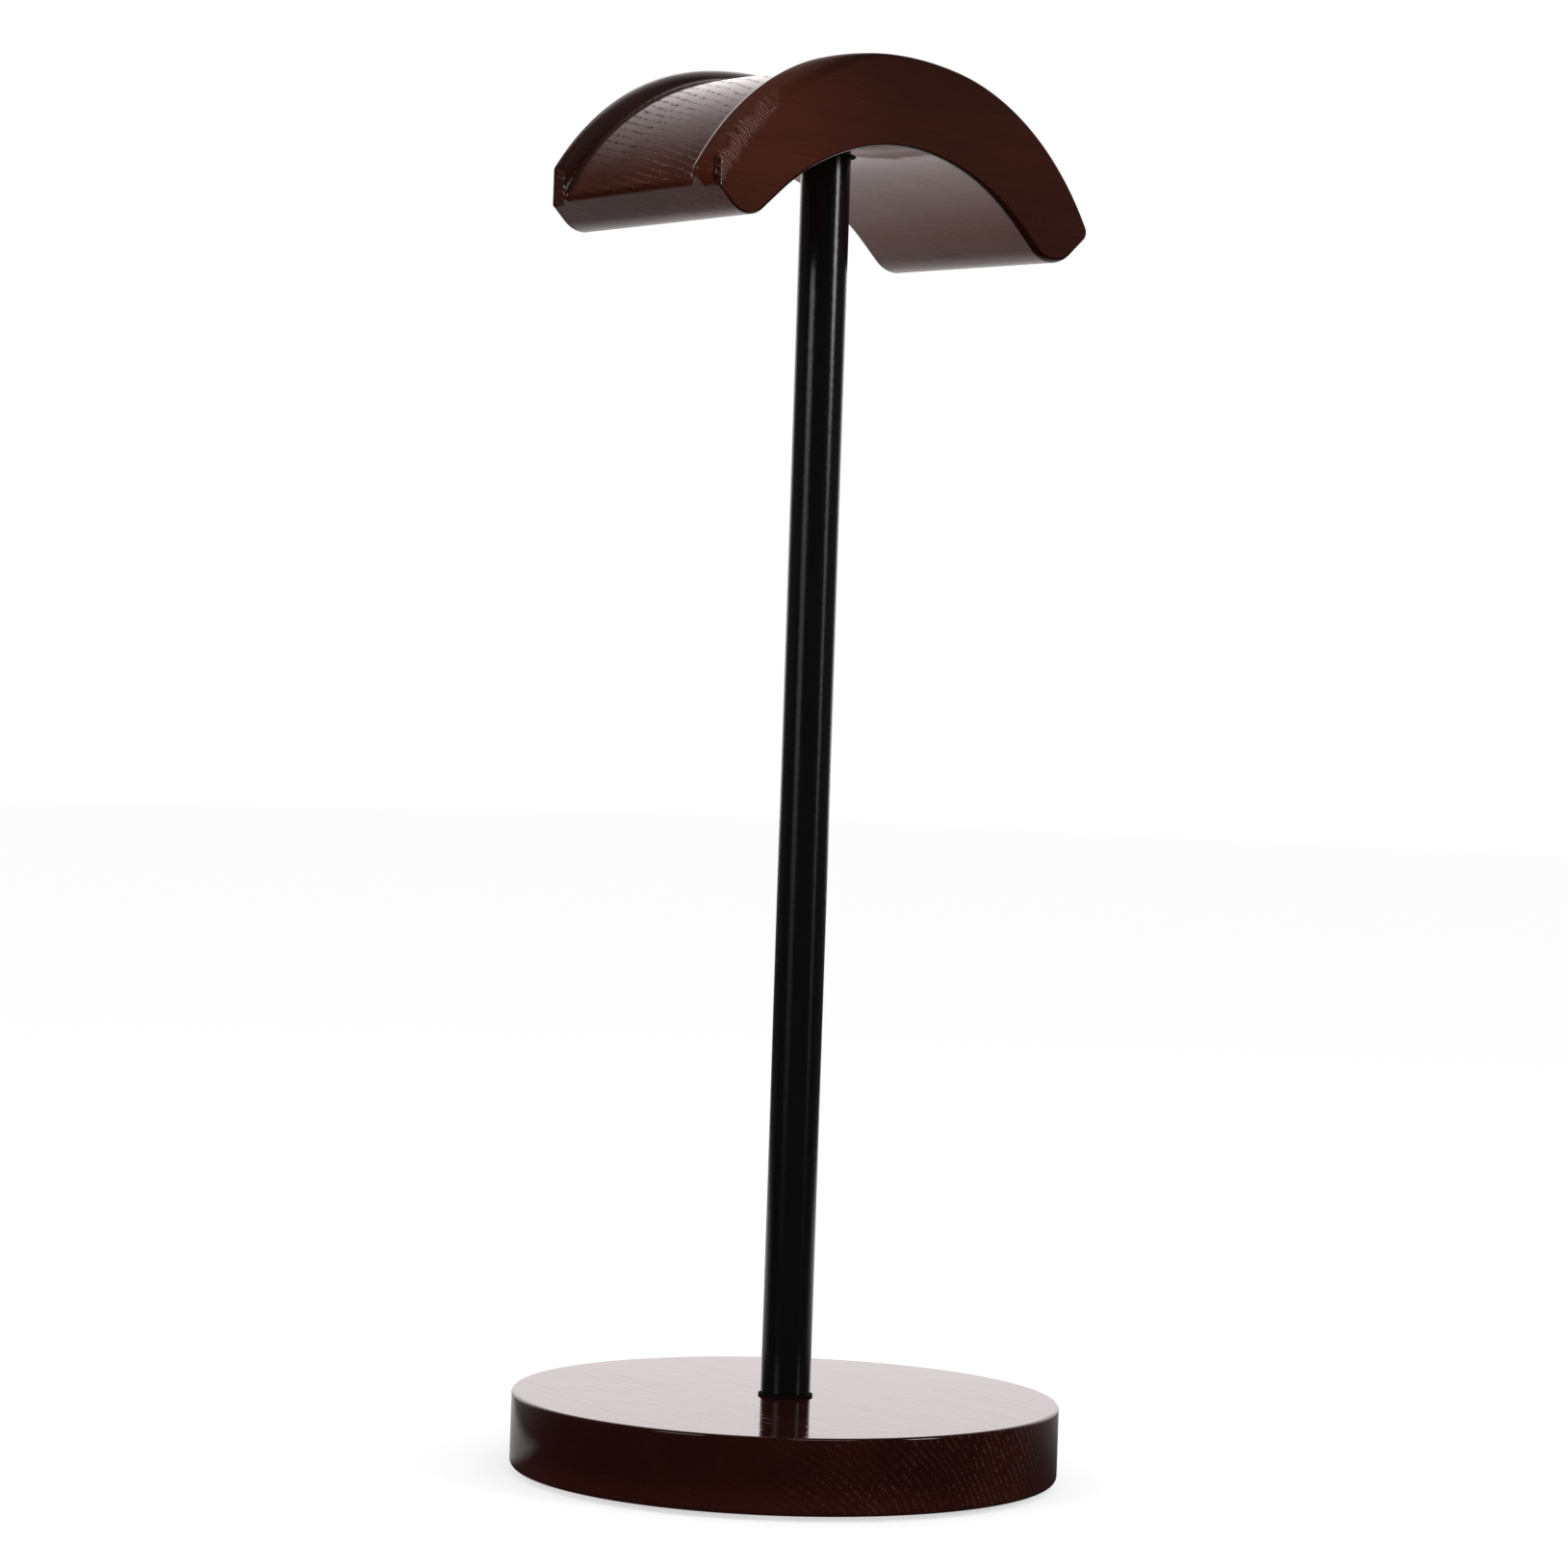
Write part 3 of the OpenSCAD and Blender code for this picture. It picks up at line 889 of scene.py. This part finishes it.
def saddle_stain_and_light(t, where):
    """The colour is paler at the near left and on the channel's floor, and darker near the top of the near
    face.
    Under the arch it is paler as painted light, bounced up from the floor, and on the far rim's top and along
    the crisp edges it is darker as painted shade.
    """
    x, y, z = t.split(where)
    normal = t.split(t.normal())
    upward = t.ramp(normal[2], *FACES_UP)
    from_pole, beside, sideways = (t.math("ABSOLUTE", value) for value in (x, y, normal[1]))
    parts = SADDLE_STAIN_AND_LIGHT

    def inside_faces(part):
        start, full = parts[part]["in"]
        return t.ramp(beside, SADDLE_LEN / 2 - start, SADDLE_LEN / 2 - full)

    low, full = parts["near left"]["up"]
    from_foot = t.ramp(z, SADDLE_LOW + low, SADDLE_LOW + full, parts["near left"]["at foot"], 1.0)
    near_left = t.times(t.ramp(x, *parts["near left"]["x"]), t.ramp(y, *parts["near left"]["y"]))
    near_left = t.times(near_left, from_foot)
    gain = t.scaled(near_left, parts["near left"]["gain"], 1.0)
    # The far rim's up-facing top is darker: painted shade.
    far = t.times(t.ramp(y, *parts["far rim"]["y"]), upward)
    gain = t.times(gain, t.scaled(far, parts["far rim"]["gain"], 1.0))
    channel = t.times(t.ramp(beside, *parts["channel"]["beside"]), upward)
    paler = t.times(channel, t.ramp(y, *parts["channel"]["y"], 0.0, parts["channel"]["gain"]))
    gain = t.times(gain, t.plus(paler, 1.0))
    low, full = parts["crown"]["down"]
    crown = t.times(t.ramp(z, SADDLE_TOP - low, SADDLE_TOP - full), t.ramp(y, *parts["crown"]["y"]))
    gain = t.times(gain, t.scaled(crown, parts["crown"]["gain"], 1.0))
    # Under the arch near the pole it is paler: painted light, bounced up from the floor.
    under = t.times(t.ramp(normal[2], *FACES_DOWN), t.ramp(from_pole, *parts["underside"]["pole"]))
    gain = t.scaled(t.times(under, inside_faces("underside")), parts["underside"]["gain"], gain)
    # Along every crisp edge of the two faces the colour is darker, as painted shade, but not along the sanded
    # one.
    edge = t.times(t.ramp(sideways, *EDGE_PAST_OUTSIDE), t.ramp(sideways, *EDGE_BEFORE_FACE))
    crisp = t.scaled(t.times(near_left, upward), -1.0, 1.0)
    edge = t.times(edge, inside_faces("crisp edges"), crisp)
    gain = t.times(gain, t.scaled(edge, parts["crisp edges"]["gain"], 1.0))
    rims = t.times(t.ramp(beside, *SADDLE_PORES["rims"]), upward)
    pores_left = t.times(t.ramp(normal[2], *NOT_DOWN, SADDLE_PORES["underneath"], 1.0),
                         t.scaled(rims, -SADDLE_PORES["rims lose"], 1.0),
                         t.ramp(x, *SADDLE_PORES["x"], 1.0, SADDLE_PORES["right"]))
    return gain, pores_left


def base_stain_and_light(t, where):
    """The staining has run thin in patches, and the top is paler. Towards the foot the colour is paler, as
    painted light bounced up from the floor.
    """
    upward = t.split(t.normal())[2]
    height = t.split(where)[2]
    patches = t.noise(where, BASE_STAIN_AND_LIGHT["patches"])
    # Paler towards the foot: painted light bounced up from the floor.
    gain = t.times(t.ramp(patches, *NOISE_MOST, *BASE_STAIN_AND_LIGHT["patch gain"]),
                   t.ramp(upward, *BASE_TOP_FACING, 1.0, BASE_STAIN_AND_LIGHT["top gain"]),
                   t.ramp(height, *BASE_STAIN_AND_LIGHT["foot"], 1.0, BASE_STAIN_AND_LIGHT["foot gain"]))
    patches = t.noise(where, BASE_PORES["patches"])
    pores_left = t.times(t.ramp(patches, *BASE_PORES["range"], BASE_PORES["least"], 1.0),
                         t.ramp(upward, *BASE_TOP_FACING, 1.0, BASE_PORES["on top"]))
    return gain, pores_left


def sanded_edge_and_sheen(t, where):
    """The near left edge is sanded rounder than the rest, and through the staining: marks run across it. Its
    paler colour is partly the sanded-through wood and partly painted sheen and glints of the rough band.
    """
    x, y, z = t.split(where)
    turn = math.radians(CROWN_ANGLE)
    shoulder_x = -(CROWN_R - SHOULDER_R) * math.sin(turn)
    shoulder_z = SADDLE_TOP - CROWN_R + (CROWN_R - SHOULDER_R) * math.cos(turn)
    dx, dz = t.minus(x, shoulder_x), t.minus(z, shoulder_z)
    inside = t.minus(SHOULDER_R, t.length(dx, dz))
    along_edge = t.times(t.math("ARCTAN2", dx, dz), SHOULDER_R)
    from_face = t.plus(y, SADDLE_LEN / 2)
    depth = t.ramp(from_face, *(SOFT_DEPTH * share for share in SANDED_DEPTH))
    near = t.times(depth, t.ramp(x, *SANDED_X), t.ramp(x, *SANDED_STOP_X))
    # Each mark is a stroke of its own across the edge, with its own strength and start.
    slow = [t.times(place, scale) for place, scale in zip((along_edge, inside), MARK_DRIFT_SCALE)]
    drift = t.noise(t.combine(*slow, 0.0), detail=1.0)
    count = t.scaled(drift, MARK_DRIFT, t.math("DIVIDE", along_edge, MARK_SPACING))
    stroke = t.math("FLOOR", count)
    chance, scatter = t.random(stroke)
    off_middle = t.math("ABSOLUTE", t.minus(t.minus(count, stroke), 0.5))
    marks = t.times(t.ramp(off_middle, *MARK_EDGE), t.spread(chance, MARK_STRENGTH))
    start = t.scaled(scatter[0], MARK_START, inside)
    band = t.times(t.ramp(start, *MARKS_OUTER), t.ramp(start, *MARKS_INNER))
    return t.times(near, band, t.spread(marks, SANDED_STRENGTH)), t.times(marks, MARK_RELIEF)


def powder_coat():
    material, t = new_tree("black powder coat")
    where = in_millimetres(t)
    peel = t.noise(where, COAT["peel"])
    grain = t.noise(where, COAT["grain"], roughness=0.6)
    height = t.scaled(grain, COAT["grain share"], peel)
    colour = t.mix(t.ramp(grain, *NOISE_MOST), (*COAT_DARK, 1), (*COAT_PALE, 1))
    rough = t.ramp(peel, *NOISE_MOST, *COAT["rough"])
    t.shader(Base_Color=colour, Roughness=rough, IOR=1.5, Normal=t.bump(height, COAT["depth"]))
    return material


def rubber(name, dark, pale, grain_scale, depth, roughness):
    material, t = new_tree(name)
    grain = t.noise(in_millimetres(t), grain_scale, detail=3.0, roughness=0.6)
    colour = t.mix(t.ramp(grain, *NOISE_MOST), (*dark, 1), (*pale, 1))
    rough = t.ramp(grain, *NOISE_ALL, roughness - RUBBER_ROUGH_SPAN, roughness + RUBBER_ROUGH_SPAN)
    t.shader(Base_Color=colour, Roughness=rough, Normal=t.bump(grain, depth), Specular_IOR_Level=0.15)
    return material


def turned_metal(name, dark, pale, roughness):
    """Turned metal: fine rings round the axis, with a little tarnish."""
    material, t = new_tree(name)
    where = in_millimetres(t)
    x, y, z = t.split(where)
    place = t.combine(t.times(t.length(x, y), TURNING_RINGS), 0.0, t.times(z, TURNING_RINGS))
    rings = t.noise(place, detail=3.0)
    tarnish = t.noise(where, TARNISH["scale"], detail=4.0, roughness=0.6)
    colour = t.mix(t.ramp(tarnish, *TARNISH["range"]), (*dark, 1), (*pale, 1))
    smoothest, roughest = roughness - TARNISH["smoother"], roughness + TARNISH["rougher"]
    rough = t.ramp(t.plus(rings, tarnish), *TARNISH["rough range"], smoothest, roughest)
    t.shader(Base_Color=colour, Metallic=1.0, Normal=t.bump(rings, RING_DEPTH), Roughness=rough)
    return material


# ---------------------------------------------------------------- light, floor and camera

def build_camera():
    turn = Matrix.Rotation(-CAMERA_TURN, 3, "Z")
    tilt = Matrix.Rotation(CAMERA_YAW, 3, "Z") @ Matrix.Rotation(CAMERA_PITCH, 3, "X")
    tilt = tilt @ Matrix.Rotation(CAMERA_ROLL, 3, "Y")
    right = turn @ tilt @ Vector((1, 0, 0))
    up = turn @ tilt @ Vector((0, 0, 1))
    forward = turn @ tilt @ Vector((0, 1, 0))
    place = turn @ Vector((0, -CAMERA_DISTANCE, CAMERA_HEIGHT)) * MM
    data = bpy.data.cameras.new("camera")
    data.sensor_fit = "HORIZONTAL"
    data.sensor_width = SENSOR
    data.lens = CAMERA_FOCAL_PX * SENSOR / IMAGE_PX
    data.clip_start = 0.01
    camera = bpy.data.objects.new("camera", data)
    bpy.context.scene.collection.objects.link(camera)
    turned = Matrix((right, up, -forward)).transposed().to_4x4()
    camera.matrix_world = Matrix.Translation(place) @ turned
    bpy.context.scene.camera = camera


def softbox(name, turn, height, width, tall, radiance, distance=LAMP_DISTANCE, aim_height=None):
    """A rectangular lamp that lights the object as SOFTBOXES says."""
    data = bpy.data.lights.new(name, "AREA")
    data.shape = "RECTANGLE"
    data.size = width
    data.size_y = tall
    data.energy = radiance * math.pi * width * tall
    lamp = bpy.data.objects.new(name, data)
    bpy.context.scene.collection.objects.link(lamp)
    side = Matrix.Rotation(-CAMERA_TURN + math.radians(turn), 3, "Z") @ Vector((0, -1, 0))
    place = side * distance + Vector((0, 0, height))
    aim = Vector((0, 0, height if aim_height is None else aim_height)) - place
    lamp.matrix_world = Matrix.Translation(place) @ aim.to_track_quat("-Z", "Y").to_matrix().to_4x4()


def towards(x, y):
    """A level direction, x to the camera's right and y to the back."""
    return Matrix.Rotation(-CAMERA_TURN, 3, "Z") @ Vector((x, y, 0))


def not_diffuse(t, path):
    """1 for what gloss and clear materials see, otherwise 0."""
    return t.math("MAXIMUM", path["Is Glossy Ray"], path["Is Transmission Ray"])


def floor_level(t, where):
    """How bright gloss sees the floor: bright behind the object and dark in front, as in a dark studio."""
    behind, right = t.dot(where, towards(0, 1)), t.dot(where, towards(1, 0))
    aside = t.ramp(t.math("ABSOLUTE", right), *FLOOR_ASIDE)
    level = t.times(t.ramp(behind, *FLOOR_BEHIND), t.ramp(behind, *FLOOR_FAR), aside)
    # Glowing places painted onto the floor for reflections in the base's left edge and the saddle's left end
    # face.
    for place in REFLECTION_GLOW_PLACES:
        level = t.plus(level, t.times(
            t.ramp(right, *place["right"], 0.0, place["level"]), t.ramp(right, *place["right end"]),
            t.ramp(behind, *place["back"]), t.ramp(behind, *place["back end"])))
    return level


def build_floor():
    """A plain pale floor, white to the camera."""
    bm = bmesh.new()
    bmesh.ops.create_grid(bm, x_segments=1, y_segments=1, size=FLOOR_HALF)
    mesh = bpy.data.meshes.new("floor")
    bm.to_mesh(mesh)
    bm.free()
    material, t = new_tree("pale floor")
    floor = add_object("floor", mesh, material)
    where = t.add("ShaderNodeTexCoord").outputs["Object"]
    path = t.add("ShaderNodeLightPath").outputs
    plain = t.add("ShaderNodeBsdfDiffuse")
    greys = [(grey, grey, grey, 1) for grey in FLOOR_GREYS]
    t.put(plain.inputs["Color"], t.mix(t.noise(where, FLOOR_SPECKS), *greys))
    white = t.add("ShaderNodeEmission")
    white.inputs["Strength"].default_value = FLOOR_WHITE
    lit = t.add("ShaderNodeAddShader")
    t.put(lit.inputs[0], plain.outputs[0])
    t.put(lit.inputs[1], white.outputs[0])
    glow = t.add("ShaderNodeEmission")
    glow.inputs["Color"].default_value = BACKDROP_TINT
    t.put(glow.inputs["Strength"], floor_level(t, where))
    seen = t.choose(path["Is Camera Ray"], plain.outputs[0], lit.outputs[0])
    seen = t.choose(not_diffuse(t, path), seen, glow.outputs[0])
    out = t.add("ShaderNodeOutputMaterial")
    t.put(out.inputs[0], seen)


def build_world():
    """White to the camera. Gloss sees it bright behind the object and dark in front, as between flags."""
    world = bpy.data.worlds.new("studio")
    world.use_nodes = True
    bpy.context.scene.world = world
    t = Tree(world.node_tree)
    direction = t.add("ShaderNodeTexCoord").outputs["Generated"]
    path = t.add("ShaderNodeLightPath").outputs
    behind, upward = t.dot(direction, towards(0, 1)), t.split(direction)[2]
    backdrop = t.ramp(t.scaled(upward, BACKDROP_WIDENS, behind), *BACKDROP_EDGE)
    backdrop = t.times(backdrop, t.times(t.ramp(upward, *BACKDROP_LEVEL), t.ramp(upward, *HORIZON_DIP)))
    seen = t.math("MAXIMUM", backdrop, t.ramp(behind, *SIDES_LEVEL))
    seen = t.plus(seen, t.ramp(upward, *CEILING_LEVEL))
    gloss = not_diffuse(t, path)
    soft = t.ramp(upward, *SOFT_LEVEL)
    level = t.scaled(gloss, t.minus(seen, soft), soft)
    level = t.scaled(path["Is Camera Ray"], t.minus(1.0, level), level)
    sky = t.add("ShaderNodeBackground")
    t.put(sky.inputs["Color"], t.mix(gloss, (1, 1, 1, 1), BACKDROP_TINT))
    t.put(sky.inputs["Strength"], level)
    out = t.add("ShaderNodeOutputWorld")
    t.put(out.inputs[0], sky.outputs[0])


# ---------------------------------------------------------------- the object

saddle_wood = wood("saddle wood", fibre_turn=0, pith=(110, -190), ring_w=1.3,
                   light=(0.054, 0.0122, 0.0062), dark=(0.022, 0.0050, 0.0027),
                   film={"rough": 0.07, "pore_relief": 0.08, "fibre_relief": 0.003, "wave": 0.08},
                   pores={"spacing": 0.54, "size": 0.43, "missing": 0.22, "open": 1.0, "dust": 0.7,
                          "end_grain": (0.05, 0.35), "filled": 0.08},
                   stain_and_light=saddle_stain_and_light, worn_and_sheen=sanded_edge_and_sheen)
base_wood = wood("base wood", fibre_turn=76, pith=(63, -40), ring_w=1.4,
                 light=(0.033, 0.0068, 0.0046), dark=(0.014, 0.0030, 0.0022),
                 film={"rough": 0.04, "pore_relief": 0.07, "fibre_relief": 0.0008, "wave": 0.04},
                 pores={"spacing": 0.66, "size": 0.50, "missing": 0.25, "open": 0.5, "dust": 0.55,
                        "end_grain": (0.78, 0.95), "filled": 0.08},
                 stain_and_light=base_stain_and_light)
paint = powder_coat()
gasket_rubber = rubber("gasket rubber", dark=(0.002, 0.002, 0.002), pale=(0.004, 0.004, 0.004),
                       grain_scale=5.0, depth=0.00001, roughness=0.90)
pad_foam = rubber("pad foam", dark=(0.02, 0.02, 0.021), pale=(0.045, 0.045, 0.047),
                  grain_scale=4.0, depth=0.00008, roughness=0.85)
zinc = turned_metal("zinc steel", dark=(0.42, 0.43, 0.45), pale=(0.62, 0.63, 0.64), roughness=0.28)
brass = turned_metal("insert brass", dark=(0.55, 0.38, 0.16), pale=(0.74, 0.56, 0.27), roughness=0.34)

build_saddle(saddle_wood)
build_base(base_wood)
build_pole(paint)
build_gasket("upper_gasket_ring", "upper_gasket", gasket_rubber)
build_gasket("lower_gasket_ring", "lower_gasket", gasket_rubber)
build_pads(pad_foam)

METAL_NODES = {
    "base_screw": zinc,
    "base_screw_washer": zinc,
    "lower_pole_plug": zinc,
    "upper_pole_plug": zinc,
    "saddle_stud": zinc,
    "saddle_insert": brass,
}
for node_name, metal in METAL_NODES.items():
    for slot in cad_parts[node_name].material_slots:
        slot.material = metal

build_floor()
build_world()
for lamp_name, lamp in SOFTBOXES.items():
    softbox(lamp_name, **lamp)
build_camera()

scene = bpy.context.scene
scene.view_settings.view_transform = "Standard"
